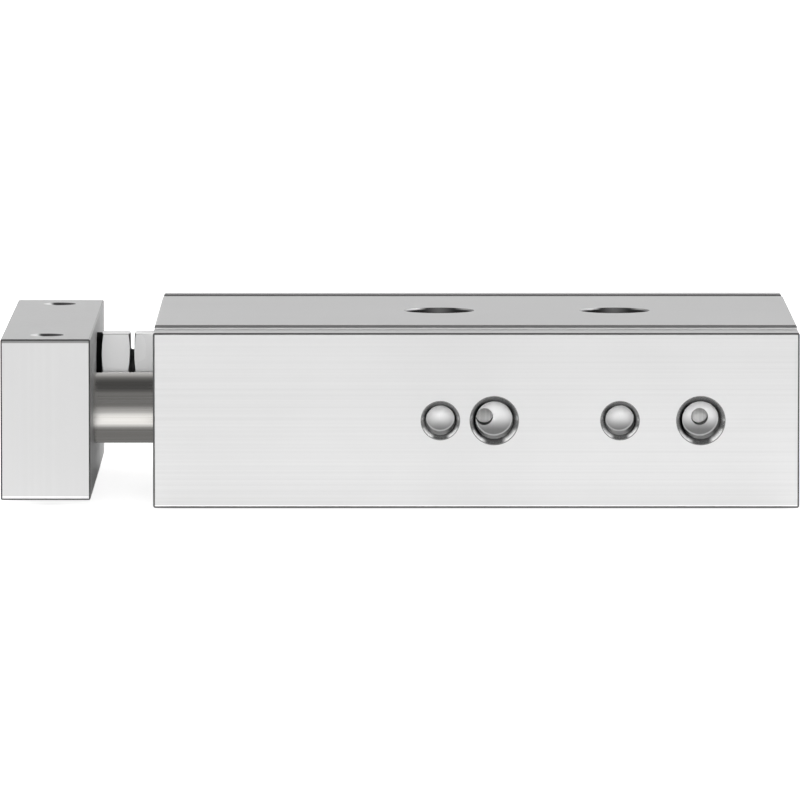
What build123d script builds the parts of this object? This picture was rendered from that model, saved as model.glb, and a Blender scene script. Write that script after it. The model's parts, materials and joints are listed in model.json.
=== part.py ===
from build123d import *
import math
import os

# A flat double piston cylinder: two bores side by side in one aluminium block,
# two rods joined by a yoke, and a stop screw in the yoke that sets the retracted end.
#
# Millimetres. X runs from the yoke end to the rear, Y across the bores and Z up.
# The origin is on the bottom mounting land, midway between the two through holes.
# Every length marked "from the front" starts at the barrel's yoke-side end face.

# Bores and rods
bore_d = 16.0
rod_d = 8.0
bore_pitch = 25.0

# Stack of pieces along each bore, from the front to the rear
ring_inset = 0.5
ring_thickness = 1.0
cover_length = 33.0
front_bumper_length = 3.6
extend_gap = 0.1
stroke = 10.0
piston_front_length = 4.5
magnet_length = 2.6
piston_rear_length = 4.5
retract_gap = 0.3
rear_bumper_length = 2.4
cap_length = 8.0

# Barrel section: the metal left beside the bores, and above and below them
side_wall = 8.5
floor_wall = 2.0
body_width = bore_pitch + bore_d + 2 * side_wall
body_height = bore_d + 2 * floor_wall
land_rise = 0.21
strip_width = 2.7
recess_width = 5.7
recess_depth = 0.25
edge_radius = 0.25
bore_chamfer = 0.3
slot_radius = 2.1
slot_mouth = 2.8
slot_lip = 0.9

# Through holes on the centre line, with room for a cap screw's head
hole_pitch = 20.0
front_hole_from_end = 32.0
through_d = 4.3
counterbore_d = 8.0
counterbore_depth = 4.6

# Threads in the two narrow sides, drilled to the core size
side_core_d = 3.3
side_mouth_d = 4.4
side_depth = 5.0

# Air ports, M5, and the small drillings that lead on into the bores
port_core_d = 4.2
port_mouth_d = 5.5
port_depth = 4.5
air_drill_d = 1.9
front_port_offset = 1.05
front_drill_from_cover = 2.45
rear_drill_from_cap = 1.5

# Yoke
yoke_thickness = 10.0
yoke_margin = 1.0
yoke_width = body_width - 2 * yoke_margin
yoke_height = body_height - 2 * yoke_margin
yoke_edge_radius = 0.2
yoke_hole_pitch = 44.0
yoke_core_d = 3.3
yoke_mouth_d = 3.8
yoke_hole_depth = 6.0
rod_socket_depth = 2.0

# Stop screw, its lock nut and the washer, between the yoke and the barrel
stop_d = 5.0
stop_rise = 3.5
hex_flats = 8.0
hex_chamfer = 0.1
hex_chamfer_degrees = 15.0
washer_d = 8.0
washer_thickness = 0.6
nut_thickness = 3.2
bare_thread = 0.5
head_thickness = 2.4
pad_d = 5.6
pad_seat = 1.0
pad_proud = 0.2
pad_gap = 0.1
stop_end_inset = 1.0
stop_socket_flats = 2.5
stop_socket_depth = 2.5

# Screws that hold the rods in the yoke
screw_d = 4.0
screw_hole_d = 4.3
screw_head_d = 7.0
screw_head_height = 4.0
screw_head_inset = 0.2
screw_counterbore_d = 7.4
screw_length = 10.0
screw_socket_flats = 3.0
screw_socket_depth = 2.0
tapped_spare = 1.5
tapped_chamfer = 0.3

# Piston
spigot_d = 5.0
spigot_inset = 0.2
piston_nut_flats = 8.0
piston_nut_thickness = 2.7
piston_nut_room = 0.3
piston_seal_width = 2.2
piston_seal_section = 1.9
piston_seal_from_end = 1.0
magnet_inset = 0.5
lip_groove = 0.7

# Front covers: rod seal pocket, two bushings, O-ring
rod_seal_length = 3.6
rod_seal_section = 2.0
rod_seal_pocket = 4.0
bushing_wall = 1.0
bushing_length = 10.0
cover_bore_play = 0.3
oring_d = 1.4
oring_groove_width = 1.8
oring_from_inner_end = 6.0
cap_oring_from_inner_end = 3.0

# Bumpers and rear caps
bumper_d = 12.5
front_bumper_bore = 9.2
rear_bumper_bore = 6.0
cap_puller_d = 2.5
cap_puller_mouth_d = 3.2
cap_puller_depth = 4.0

# Retaining rings
ring_groove_depth = 0.4
ring_width = 1.4
ring_gap_degrees = 40.0
ring_eye_radius = 1.15
ring_eye_hole = 0.5
ring_play = 0.05

# Plugs in the spare ports on the far side
plug_length = 3.6
plug_inset = 0.4
plug_socket_flats = 2.5
plug_socket_depth = 2.0

# Clearances, each on the radius
rod_gap = 0.03
piston_gap = 0.1
seal_gap = 0.03
thread_gap = 0.05
seat_gap = 0.02
cover_gap = 0.05

# How far a cutting tool runs past the face it opens in
overcut = 1.0
drill_tip_degrees = 118.0

# Places along the bores, from the front
cover_at = ring_inset + ring_thickness
cover_end = cover_at + cover_length
front_bumper_end = cover_end + front_bumper_length
piston_length = piston_front_length + magnet_length + piston_rear_length
piston_at = front_bumper_end + extend_gap + stroke
piston_end = piston_at + piston_length
rear_bumper_at = piston_end + retract_gap
cap_at = rear_bumper_at + rear_bumper_length
cap_end = cap_at + cap_length
body_length = cap_end + ring_thickness + ring_inset

# Places in the frame
mid_z = body_height / 2
front_x = -(front_hole_from_end + hole_pitch / 2)
rear_x = front_x + body_length
front_drill_x = front_x + cover_end + front_drill_from_cover
front_port_x = front_drill_x + front_port_offset
rear_port_x = front_x + cap_at - rear_drill_from_cap
stop_stack = washer_thickness + nut_thickness + bare_thread + head_thickness
yoke_gap = stop_stack + pad_proud + pad_gap
yoke_inner_x = front_x - yoke_gap
yoke_outer_x = yoke_inner_x - yoke_thickness
yoke_mid_x = yoke_inner_x - yoke_thickness / 2
yoke_bottom_z = mid_z - yoke_height / 2
yoke_top_z = mid_z + yoke_height / 2
stop_z = mid_z + stop_rise
rod_start_x = yoke_inner_x - rod_socket_depth

# Radii shared by pieces that fit each other
bore_r = bore_d / 2
rod_r = rod_d / 2
cover_r = bore_r - cover_gap
piston_r = bore_r - piston_gap
piston_seal_floor = bore_r - piston_seal_section
bushing_r = rod_r + bushing_wall
rod_seal_r = rod_r + rod_seal_section
oring_floor = bore_r - oring_d - 2 * seal_gap
spigot_r = spigot_d / 2
stop_r = stop_d / 2
ring_groove_r = bore_r + ring_groove_depth
ring_r = ring_groove_r - ring_play
screw_counterbore_depth = screw_head_height + screw_head_inset


def turned(*points):
    """A piece turned about X from an outline of (x, radius) points."""
    return revolve(make_face(Polyline(*points, close=True)), Axis.X)


def ring(start, end, inner, outer, chamfer_size=0.0):
    """A plain turned ring between two places along X, with its outer corners broken."""
    if chamfer_size == 0:
        return turned((start, inner), (start, outer), (end, outer), (end, inner))
    return turned(
        (start, inner),
        (start, outer - chamfer_size),
        (start + chamfer_size, outer),
        (end - chamfer_size, outer),
        (end, outer - chamfer_size),
        (end, inner),
    )


def drilled(mouth_d, core_d, depth):
    """A tool for a blind hole below Z = 0: chamfered mouth, core and drill point."""
    mouth = mouth_d / 2
    core = core_d / 2
    tip = core / math.tan(math.radians(drill_tip_degrees / 2))
    outline = Polyline(
        (0, overcut),
        (mouth, overcut),
        (mouth, 0),
        (core, core - mouth),
        (core, -depth),
        (0, -depth - tip),
        close=True,
    )
    return revolve(Plane.XZ * make_face(outline), Axis.Z)


def facing(x, y, z, direction):
    """A plane at a point whose local Z points along a direction."""
    return Plane(origin=(x, y, z), z_dir=direction)


def hexagon(flats):
    """A hexagon across X, flats at the top and bottom."""
    return Plane.YZ * RegularPolygon(radius=flats / math.sqrt(3), side_count=6)


def hex_prism(start, length, flats):
    """A hexagonal bar along X, used for heads and for key sockets."""
    return Pos(start, 0, 0) * extrude(hexagon(flats), amount=length)


def chamfered_hex(start, length, flats):
    """A nut or head blank: a hexagonal bar with both ends turned to a cone."""
    corner = flats / math.sqrt(3)
    face = flats / 2 - hex_chamfer / 2
    run = (corner - face) * math.tan(math.radians(hex_chamfer_degrees))
    cone = turned(
        (start, 0),
        (start, face),
        (start + run, corner),
        (start + length - run, corner),
        (start + length, face),
        (start + length, 0),
    )
    return hex_prism(start, length, flats) & cone


def body_blank():
    """The barrel's outside: an extruded block with raised lands and shallow recesses."""
    strip_height = body_height - 2 * land_rise
    land_width = body_width - 2 * (strip_width + recess_width)
    block = Box(body_length, body_width, strip_height)
    block = fillet(block.edges(), edge_radius)
    land = Box(body_length, land_width, body_height)
    land = fillet(land.edges().filter_by(Axis.Y), edge_radius)
    blank = block + land
    recess_y = land_width / 2 + recess_width / 2
    recess = Box(body_length + 2 * overcut, recess_width, 2 * recess_depth)
    for y in (-recess_y, recess_y):
        for z in (-strip_height / 2, strip_height / 2):
            blank -= Pos(0, y, z) * recess
    return Pos(front_x + body_length / 2, 0, mid_z) * blank


def sensor_slot(y):
    """A round-bottomed slot for a position switch, open in the bottom recess."""
    floor_z = land_rise + recess_depth
    throat = math.sqrt(slot_radius**2 - (slot_mouth / 2) ** 2)
    centre_z = floor_z + slot_lip + throat
    run = body_length + 2 * overcut
    round_part = Plane.YZ * (Pos(y, centre_z) * Circle(slot_radius))
    mouth_part = Plane.YZ * (Pos(y, centre_z / 2) * Rectangle(slot_mouth, centre_z))
    tool = extrude(round_part, amount=run) + extrude(mouth_part, amount=run)
    return Pos(front_x - overcut, 0, 0) * tool


def bore_tool():
    """One bore with its two retaining ring grooves and chamfered mouths."""
    start = front_x
    end = rear_x
    bore = turned(
        (start - overcut, 0),
        (start - overcut, bore_r + bore_chamfer),
        (start, bore_r + bore_chamfer),
        (start + bore_chamfer, bore_r),
        (end - bore_chamfer, bore_r),
        (end, bore_r + bore_chamfer),
        (end + overcut, bore_r + bore_chamfer),
        (end + overcut, 0),
    )
    groove_width = ring_thickness + ring_play
    front_groove = ring(start + ring_inset - ring_play, start + ring_inset + ring_thickness, 0, ring_groove_r)
    rear_groove_at = end - ring_inset - ring_thickness
    rear_groove = ring(rear_groove_at, rear_groove_at + groove_width, 0, ring_groove_r)
    return bore + front_groove + rear_groove


def cylinder_body():
    """The barrel block with its bores, ports, air drillings, threads and mounting holes."""
    body = body_blank()
    for side in (-1, 1):
        body -= Pos(0, side * bore_pitch / 2, mid_z) * bore_tool()
        face_y = side * body_width / 2
        for x in (front_port_x, rear_port_x):
            body -= facing(x, face_y, mid_z, (0, side, 0)) * drilled(port_mouth_d, port_core_d, port_depth)
        for x in (-hole_pitch / 2, hole_pitch / 2):
            body -= facing(x, face_y, mid_z, (0, side, 0)) * drilled(side_mouth_d, side_core_d, side_depth)
        slot_y = side * (body_width / 2 - strip_width - recess_width / 2)
        body -= sensor_slot(slot_y)
    drill_run = body_width - 2 * port_depth
    for x in (front_drill_x, rear_port_x):
        body -= Pos(x, 0, mid_z) * Rot(90, 0, 0) * Cylinder(air_drill_d / 2, drill_run)
    for x in (-hole_pitch / 2, hole_pitch / 2):
        body -= Pos(x, 0, mid_z) * Cylinder(through_d / 2, body_height + 2 * overcut)
        head_room = counterbore_depth + overcut
        centre_z = body_height - counterbore_depth + head_room / 2
        body -= Pos(x, 0, centre_z) * Cylinder(counterbore_d / 2, head_room)
    return body


def front_cover():
    """A long bearing carrier: seal pocket in front, a bushing seat at each end, O-ring groove."""
    start = front_x + cover_at
    end = front_x + cover_end
    free_r = rod_r + cover_bore_play
    seat_r = bushing_r + seat_gap
    pocket_r = rod_seal_r + seat_gap
    pocket_end = start + rod_seal_pocket
    outer_seat_end = pocket_end + bushing_length
    inner_seat_at = end - bushing_length
    groove_mid = end - oring_from_inner_end
    groove_half = oring_groove_width / 2
    corner = bore_chamfer
    return turned(
        (start, pocket_r),
        (start, cover_r - corner),
        (start + corner, cover_r),
        (groove_mid - groove_half, cover_r),
        (groove_mid - groove_half, oring_floor),
        (groove_mid + groove_half, oring_floor),
        (groove_mid + groove_half, cover_r),
        (end - corner, cover_r),
        (end, cover_r - corner),
        (end, seat_r),
        (inner_seat_at, seat_r),
        (inner_seat_at, free_r),
        (outer_seat_end, free_r),
        (outer_seat_end, seat_r),
        (pocket_end, seat_r),
        (pocket_end, pocket_r),
    )


def bushing(at):
    """A plain sleeve that the rod runs in."""
    return ring(at, at + bushing_length, rod_r + rod_gap, bushing_r)


def rod_seal():
    """A lip seal and wiper in the front of a cover, its lip groove facing the pressure side."""
    start = front_x + cover_at + rod_seal_pocket - rod_seal_length
    end = start + rod_seal_length
    inner = rod_r + rod_gap
    middle = (inner + rod_seal_r) / 2
    lip = lip_groove / 2
    return turned(
        (start, inner + lip),
        (start + lip, inner),
        (end, inner),
        (end, middle - lip),
        (end - rod_seal_length / 2, middle),
        (end, middle + lip),
        (end, rod_seal_r),
        (start, rod_seal_r),
    )


def oring(mid_x):
    """An O-ring round a cover or a cap, clear of its groove and of the bore, its section an octagon."""
    section = RegularPolygon(radius=oring_d / 2, side_count=8, rotation=22.5)
    return revolve(Pos(mid_x, bore_r - seal_gap - oring_d / 2) * section, Axis.X)


def bumper(start, length, bore):
    """A cushioning ring bonded to the end face behind it."""
    return ring(start, start + length, bore / 2, bumper_d / 2, bore_chamfer)


def rear_cap():
    """The plug that closes a bore at the rear, with its O-ring groove and puller hole."""
    start = front_x + cap_at
    end = front_x + cap_end
    groove_mid = start + cap_oring_from_inner_end
    groove_half = oring_groove_width / 2
    corner = bore_chamfer
    cap = turned(
        (start, 0),
        (start, cover_r - corner),
        (start + corner, cover_r),
        (groove_mid - groove_half, cover_r),
        (groove_mid - groove_half, oring_floor),
        (groove_mid + groove_half, oring_floor),
        (groove_mid + groove_half, cover_r),
        (end - corner, cover_r),
        (end, cover_r - corner),
        (end, 0),
    )
    puller = facing(end, 0, 0, (1, 0, 0)) * drilled(cap_puller_mouth_d, cap_puller_d, cap_puller_depth)
    return cap - puller


def retaining_ring(at):
    """A spring ring for a bore: open at the bottom, with an eye for pliers at each end."""
    inner = ring_r - ring_width
    eye_centre = inner + ring_eye_radius / 2
    half_gap = ring_gap_degrees / 2
    eye_turn = half_gap + math.degrees(ring_eye_radius / eye_centre)
    gap_reach = 2 * ring_r
    gap_half_width = gap_reach * math.tan(math.radians(half_gap))
    gap = make_face(Polyline((0, 0), (-gap_half_width, -gap_reach), (gap_half_width, -gap_reach), close=True))
    flat = Circle(ring_r) - Circle(inner) - gap
    eye = Circle(ring_eye_radius)
    eye_hole = Circle(ring_eye_hole)
    for turn in (-eye_turn, eye_turn):
        place = Rot(0, 0, turn) * Pos(0, -eye_centre)
        flat += place * eye & Circle(ring_r)
        flat -= place * eye_hole
    return Pos(at, 0, 0) * extrude(Plane.YZ * flat, amount=ring_thickness)


def piston_rod():
    """A hardened rod: tapped for the yoke screw in front, turned down to carry the piston behind."""
    start = rod_start_x
    shoulder = front_x + piston_at
    end = front_x + piston_end - spigot_inset
    corner = bore_chamfer
    rod = turned(
        (start, 0),
        (start, rod_r - corner),
        (start + corner, rod_r),
        (shoulder, rod_r),
        (shoulder, spigot_r),
        (end - corner, spigot_r),
        (end, spigot_r - corner),
        (end, 0),
    )
    hole_d = screw_d + 2 * seat_gap
    seat = yoke_thickness - screw_counterbore_depth - rod_socket_depth
    tapped_depth = screw_length - seat + tapped_spare
    tapped = drilled(hole_d + 2 * tapped_chamfer, hole_d, tapped_depth)
    return rod - facing(start, 0, 0, (-1, 0, 0)) * tapped


def piston_front():
    """The front half of a piston: a disc with a seal groove."""
    start = front_x + piston_at
    end = start + piston_front_length
    groove_at = start + piston_seal_from_end
    groove_end = groove_at + piston_seal_width
    corner = bore_chamfer
    return turned(
        (start, spigot_r + seat_gap),
        (start, piston_r - corner),
        (start + corner, piston_r),
        (groove_at, piston_r),
        (groove_at, piston_seal_floor),
        (groove_end, piston_seal_floor),
        (groove_end, piston_r),
        (end, piston_r),
        (end, spigot_r + seat_gap),
    )


def piston_rear():
    """The rear half of a piston: a seal groove outside and a pocket for the nut inside."""
    end = front_x + piston_end
    start = end - piston_rear_length
    groove_end = end - piston_seal_from_end
    groove_at = groove_end - piston_seal_width
    pocket_r = piston_nut_flats / math.sqrt(3) + piston_nut_room
    pocket_at = end - spigot_inset - piston_nut_thickness
    corner = bore_chamfer
    return turned(
        (start, spigot_r + seat_gap),
        (start, piston_r),
        (groove_at, piston_r),
        (groove_at, piston_seal_floor),
        (groove_end, piston_seal_floor),
        (groove_end, piston_r),
        (end - corner, piston_r),
        (end, piston_r - corner),
        (end, pocket_r),
        (pocket_at, pocket_r),
        (pocket_at, spigot_r + seat_gap),
    )


def piston_magnet():
    """The ring magnet that a position switch in a slot responds to."""
    start = front_x + piston_at + piston_front_length
    return ring(start, start + magnet_length, spigot_r + seat_gap, piston_r - magnet_inset)


def piston_seal(start, facing_front):
    """A lip seal in a piston half, its lip groove facing the nearer chamber."""
    end = start + piston_seal_width
    inner = piston_seal_floor + seat_gap
    outer = bore_r - seal_gap
    middle = (inner + outer) / 2
    lip = lip_groove / 2
    depth = piston_seal_width / 2
    open_end = start if facing_front else end
    closed_end = end if facing_front else start
    apex = open_end + depth if facing_front else open_end - depth
    return turned(
        (open_end, inner),
        (open_end, middle - lip),
        (apex, middle),
        (open_end, middle + lip),
        (open_end, outer),
        (closed_end, outer),
        (closed_end, inner),
    )


def piston_nut():
    """The thin nut that clamps both piston halves and the magnet on the spigot."""
    end = front_x + piston_end - spigot_inset
    start = end - piston_nut_thickness
    blank = chamfered_hex(start, piston_nut_thickness, piston_nut_flats)
    return blank - ring(start - overcut, end + overcut, 0, spigot_r + seat_gap)


def yoke():
    """The cross plate: rod sockets behind, screw seats in front, threads for the load."""
    plate = Box(yoke_thickness, yoke_width, yoke_height)
    plate = Pos(yoke_mid_x, 0, mid_z) * fillet(plate.edges(), yoke_edge_radius)
    for side in (-1, 1):
        y = side * bore_pitch / 2
        socket = ring(rod_start_x, yoke_inner_x + overcut, 0, rod_r + seat_gap)
        clear_hole = ring(yoke_outer_x - overcut, yoke_inner_x + overcut, 0, screw_hole_d / 2)
        head_seat_x = yoke_outer_x + screw_counterbore_depth
        head_room = ring(yoke_outer_x - overcut, head_seat_x, 0, screw_counterbore_d / 2)
        plate -= Pos(0, y, mid_z) * (socket + clear_hole + head_room)
        tapped = drilled(yoke_mouth_d, yoke_core_d, yoke_hole_depth)
        load_y = side * yoke_hole_pitch / 2
        plate -= facing(yoke_mid_x, load_y, yoke_top_z, (0, 0, 1)) * tapped
        plate -= facing(yoke_mid_x, load_y, yoke_bottom_z, (0, 0, -1)) * tapped
        plate -= facing(yoke_outer_x, load_y, mid_z, (-1, 0, 0)) * tapped
    stop_hole = ring(yoke_outer_x - overcut, yoke_inner_x + overcut, 0, stop_r + thread_gap)
    return plate - Pos(0, 0, stop_z) * stop_hole


def yoke_screw():
    """A cap screw with a hexagon socket, head sunk in the yoke's front."""
    head_end = yoke_outer_x + screw_counterbore_depth
    head_at = head_end - screw_head_height
    corner = bore_chamfer
    screw = turned(
        (head_at, 0),
        (head_at, screw_head_d / 2 - corner),
        (head_at + corner, screw_head_d / 2),
        (head_end, screw_head_d / 2),
        (head_end, screw_d / 2),
        (head_end + screw_length - corner, screw_d / 2),
        (head_end + screw_length, screw_d / 2 - corner),
        (head_end + screw_length, 0),
    )
    return screw - hex_prism(head_at - overcut, screw_socket_depth + overcut, screw_socket_flats)


def stop_washer():
    """The black sealing washer between the yoke and the lock nut."""
    washer = ring(yoke_inner_x, yoke_inner_x + washer_thickness, stop_r + thread_gap, washer_d / 2)
    return Pos(0, 0, stop_z) * washer


def lock_nut():
    """The thin nut that holds the stop screw's setting."""
    start = yoke_inner_x + washer_thickness
    blank = chamfered_hex(start, nut_thickness, hex_flats)
    end = start + nut_thickness
    hole = ring(start - overcut, end + overcut, 0, stop_r + thread_gap)
    return Pos(0, 0, stop_z) * (blank - hole)


def stop_screw():
    """The stop screw: hexagon head towards the barrel, key socket in the end of its shank."""
    head_at = front_x - pad_gap - pad_proud - head_thickness
    head_end = head_at + head_thickness
    shank_at = yoke_outer_x + stop_end_inset
    head = chamfered_hex(head_at, head_thickness, hex_flats)
    corner = bore_chamfer
    shank = turned(
        (shank_at, 0),
        (shank_at, stop_r - corner),
        (shank_at + corner, stop_r),
        (head_at + corner, stop_r),
        (head_at + corner, 0),
    )
    pad_hole = ring(head_end - pad_seat, head_end + overcut, 0, pad_d / 2 + seat_gap)
    socket = hex_prism(shank_at - overcut, stop_socket_depth + overcut, stop_socket_flats)
    return Pos(0, 0, stop_z) * (head + shank - pad_hole - socket)


def stop_pad():
    """The hard plastic pad in the stop screw's head that meets the barrel."""
    start = front_x - pad_gap - pad_proud - pad_seat
    return Pos(0, 0, stop_z) * ring(start, front_x - pad_gap, 0, pad_d / 2, pad_proud / 2)


def port_plug(x):
    """A headless plug with a key socket, in a spare port on the far side."""
    outer_y = body_width / 2 - plug_inset
    plug_r = port_core_d / 2 - seat_gap
    plug = turned((0, 0), (0, plug_r), (plug_length, plug_r), (plug_length, 0))
    plug -= hex_prism(plug_length - plug_socket_depth, plug_socket_depth + overcut, plug_socket_flats)
    return Pos(x, outer_y - plug_length, mid_z) * Rot(0, 0, 90) * plug


def at_bore(side, piece):
    """Puts a piece made about X on the axis of the near (-1) or the far (1) bore."""
    return Pos(0, side * bore_pitch / 2, mid_z) * piece


nodes = {
    "cylinder_body": cylinder_body(),
    "yoke": yoke(),
    "stop_washer": stop_washer(),
    "lock_nut": lock_nut(),
    "stop_screw": stop_screw(),
    "stop_pad": stop_pad(),
    "port_plugs": Compound(children=[port_plug(front_port_x), port_plug(rear_port_x)]),
    "yoke_screws": Compound(children=[at_bore(-1, yoke_screw()), at_bore(1, yoke_screw())]),
    "piston_nuts": Compound(children=[at_bore(-1, piston_nut()), at_bore(1, piston_nut())]),
}

# One set of working pieces for each bore
front_seal_x = front_x + piston_at + piston_seal_from_end
rear_seal_x = front_x + piston_end - piston_seal_from_end - piston_seal_width
bore_pieces = {
    "front_cover": front_cover(),
    "outer_bushing": bushing(front_x + cover_at + rod_seal_pocket),
    "inner_bushing": bushing(front_x + cover_end - bushing_length),
    "rod_seal": rod_seal(),
    "cover_o_ring": oring(front_x + cover_end - oring_from_inner_end),
    "front_retaining_ring": retaining_ring(front_x + ring_inset),
    "front_bumper": bumper(front_x + cover_end, front_bumper_length, front_bumper_bore),
    "rear_bumper": bumper(front_x + rear_bumper_at, rear_bumper_length, rear_bumper_bore),
    "rear_cap": rear_cap(),
    "cap_o_ring": oring(front_x + cap_at + cap_oring_from_inner_end),
    "rear_retaining_ring": retaining_ring(front_x + cap_end),
    "piston_rod": piston_rod(),
    "piston_front": piston_front(),
    "piston_magnet": piston_magnet(),
    "piston_rear": piston_rear(),
    "front_piston_seal": piston_seal(front_seal_x, True),
    "rear_piston_seal": piston_seal(rear_seal_x, False),
}
for side, side_name in ((-1, "near"), (1, "far")):
    for piece_name, piece in bore_pieces.items():
        nodes[f"{piece_name}_{side_name}"] = at_bore(side, piece)

os.makedirs("parts", exist_ok=True)
for node_name, node in nodes.items():
    export_step(node, f"parts/{node_name}.step")

print(len(nodes), "nodes, barrel", round(body_length, 3), "mm long, yoke gap", round(yoke_gap, 3), "mm")
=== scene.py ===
# %% [markdown]
# # A double piston cylinder, dressed for a studio photograph
#
# The cylinder is a flat aluminium block with two bores side by side. Two steel rods come out of
# its front end and carry a cross plate, the yoke. A stop screw in the middle of the yoke meets
# the block when the rods draw in. This lesson loads the solid parts, which are already in place,
# and gives them the finishes, threads and light of the photograph.

# %% Load the solid parts
import bpy
import bmesh
import json
import math
from mathutils import Matrix, Vector

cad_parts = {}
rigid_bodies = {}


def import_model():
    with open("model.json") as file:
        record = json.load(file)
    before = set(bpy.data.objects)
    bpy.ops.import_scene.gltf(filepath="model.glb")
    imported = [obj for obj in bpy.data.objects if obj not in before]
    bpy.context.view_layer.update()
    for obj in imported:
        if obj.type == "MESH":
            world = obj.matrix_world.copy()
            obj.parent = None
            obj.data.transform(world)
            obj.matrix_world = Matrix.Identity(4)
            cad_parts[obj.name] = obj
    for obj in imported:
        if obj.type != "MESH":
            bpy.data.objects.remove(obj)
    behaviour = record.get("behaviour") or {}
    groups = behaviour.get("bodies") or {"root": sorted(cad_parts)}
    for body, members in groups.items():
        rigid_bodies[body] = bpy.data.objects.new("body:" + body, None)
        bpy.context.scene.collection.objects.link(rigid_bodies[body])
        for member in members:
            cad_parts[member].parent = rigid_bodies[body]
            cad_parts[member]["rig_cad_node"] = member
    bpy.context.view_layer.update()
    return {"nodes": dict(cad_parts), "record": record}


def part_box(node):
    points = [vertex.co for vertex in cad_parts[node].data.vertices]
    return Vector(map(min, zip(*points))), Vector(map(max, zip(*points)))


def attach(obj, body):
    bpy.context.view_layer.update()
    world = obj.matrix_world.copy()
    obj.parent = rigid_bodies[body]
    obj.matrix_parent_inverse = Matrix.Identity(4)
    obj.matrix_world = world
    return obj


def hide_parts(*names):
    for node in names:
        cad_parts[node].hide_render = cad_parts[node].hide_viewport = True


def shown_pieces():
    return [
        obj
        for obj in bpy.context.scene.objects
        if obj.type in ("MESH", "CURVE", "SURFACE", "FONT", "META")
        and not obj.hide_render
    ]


for leftover in list(bpy.data.objects):
    bpy.data.objects.remove(leftover)
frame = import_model()
print("solid parts:", len(frame["nodes"]))

# %% [markdown]
# ## Sizes that the finishes and threads need
#
# Most places are read from the boxes of the solid parts, so that they needn't be fitted by eye. A
# box doesn't tell where a part has its holes, and a drilled hole doesn't tell its thread's pitch.
# So the places of the holes and the sizes of standard threads are listed.

# %% Places on the cylinder
MM = 0.001
body_low, body_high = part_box("cylinder_body")
yoke_low, yoke_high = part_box("yoke")
rod_low, rod_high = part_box("piston_rod_near")
stop_low, stop_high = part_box("stop_screw")
pad_low, pad_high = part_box("stop_pad")
nut_low, nut_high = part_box("lock_nut")
port_places = {"retract": -4.0 * MM, "extend": 19.0 * MM}
mid_z = (body_low.z + body_high.z) / 2
stop_z = (stop_low.z + stop_high.z) / 2
body_mid_x = (body_low.x + body_high.x) / 2
yoke_mid_x = (yoke_low.x + yoke_high.x) / 2


def in_mm(low, high):
    """The two corners of a box in millimetres, for printing."""
    return [round(value / MM, 1) for value in (*low, *high)]


print("barrel in mm:", in_mm(body_low, body_high))

# %% [markdown]
# ## The camera
#
# The photograph looks at the long narrow side from a few degrees above. The block's far edges are
# hardly shorter than its near ones, which means a long lens from more than a metre away. A camera
# could be placed by trying, but here its place was solved from corners and hole centres, whose
# real places are known.

# %% Photograph camera
camera_place = Vector((-15.07 * MM, -1172.48 * MM, 113.82 * MM))
camera_down = math.radians(5.073)
camera_left = math.radians(0.029)
lens_mm = 464.15
sensor_mm = 36.0

photo_lens = bpy.data.cameras.new("photo_lens")
photo_lens.sensor_width = sensor_mm
photo_lens.lens = lens_mm
photo_lens.clip_start = 0.1
photo_lens.clip_end = 30.0
photo_camera = bpy.data.objects.new("photo_camera", photo_lens)
photo_camera.location = camera_place
photo_camera.rotation_euler = (math.pi / 2 - camera_down, 0, -camera_left)
bpy.context.scene.collection.objects.link(photo_camera)
bpy.context.scene.camera = photo_camera
print("camera stands", round(camera_place.length, 3), "m from the origin")

# %% [markdown]
# ## Wiring a finish
#
# A finish is a small graph of nodes. Most steps add a node, set a few of its sockets and join it
# to another, so short helpers do that. A value that is a socket is wired, and any other value is
# written on the input itself.

# %% Helpers for graphs of nodes
def add_node(tree, kind, **settings):
    """Adds a node, writes plain settings on it, and returns it."""
    node = tree.nodes.new(kind)
    for setting, value in settings.items():
        setattr(node, setting, value)
    return node


def put(tree, socket, value):
    """Wires a value that is a socket. Any other value is written on the input itself."""
    if isinstance(value, bpy.types.NodeSocket):
        tree.links.new(value, socket)
    else:
        socket.default_value = value


def feed(tree, node, **inputs):
    """Wires or writes the named inputs of a node. Spaces in names are written as underscores."""
    for name, value in inputs.items():
        put(tree, node.inputs[name.replace("_", " ")], value)
    return node


def calculate(tree, operation, first, second=0.0):
    """One sum on two numbers, either of which may be a socket."""
    node = add_node(tree, "ShaderNodeMath", operation=operation)
    put(tree, node.inputs[0], first)
    put(tree, node.inputs[1], second)
    return node.outputs[0]


def remap(tree, value, low, high, to_low=0.0, to_high=1.0):
    """Moves a number smoothly from one range to another, and stops at both ends."""
    node = add_node(tree, "ShaderNodeMapRange", interpolation_type="SMOOTHSTEP")
    feed(tree, node, Value=value, From_Min=low, From_Max=high, To_Min=to_low, To_Max=to_high)
    return node.outputs[0]


print("wiring ready")

# %% Mixing, shares and new finishes
def choose(tree, share, first, second):
    """Mixes two numbers by a share between 0 and 1."""
    node = add_node(tree, "ShaderNodeMix", data_type="FLOAT")
    for place, value in ((0, share), (2, first), (3, second)):
        put(tree, node.inputs[place], value)
    return node.outputs[0]


def blend_colours(tree, share, first, second):
    """Mixes two colours by a share between 0 and 1."""
    node = add_node(tree, "ShaderNodeMix", data_type="RGBA")
    put(tree, node.inputs[0], share)
    for place, value in ((6, first), (7, second)):
        plain = not isinstance(value, bpy.types.NodeSocket)
        put(tree, node.inputs[place], (*value, 1.0) if plain else value)
    return node.outputs[2]


def both(tree, first, second):
    """The product of two shares, which is 1 only where both are 1."""
    return calculate(tree, "MULTIPLY", first, second)


def either(tree, first, second):
    """The larger of two shares."""
    return calculate(tree, "MAXIMUM", first, second)


def weighted(tree, first, first_weight, second, second_weight):
    """Adds two patterns, each by its weight."""
    parts = both(tree, first, first_weight), both(tree, second, second_weight)
    return calculate(tree, "ADD", *parts)


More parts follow.
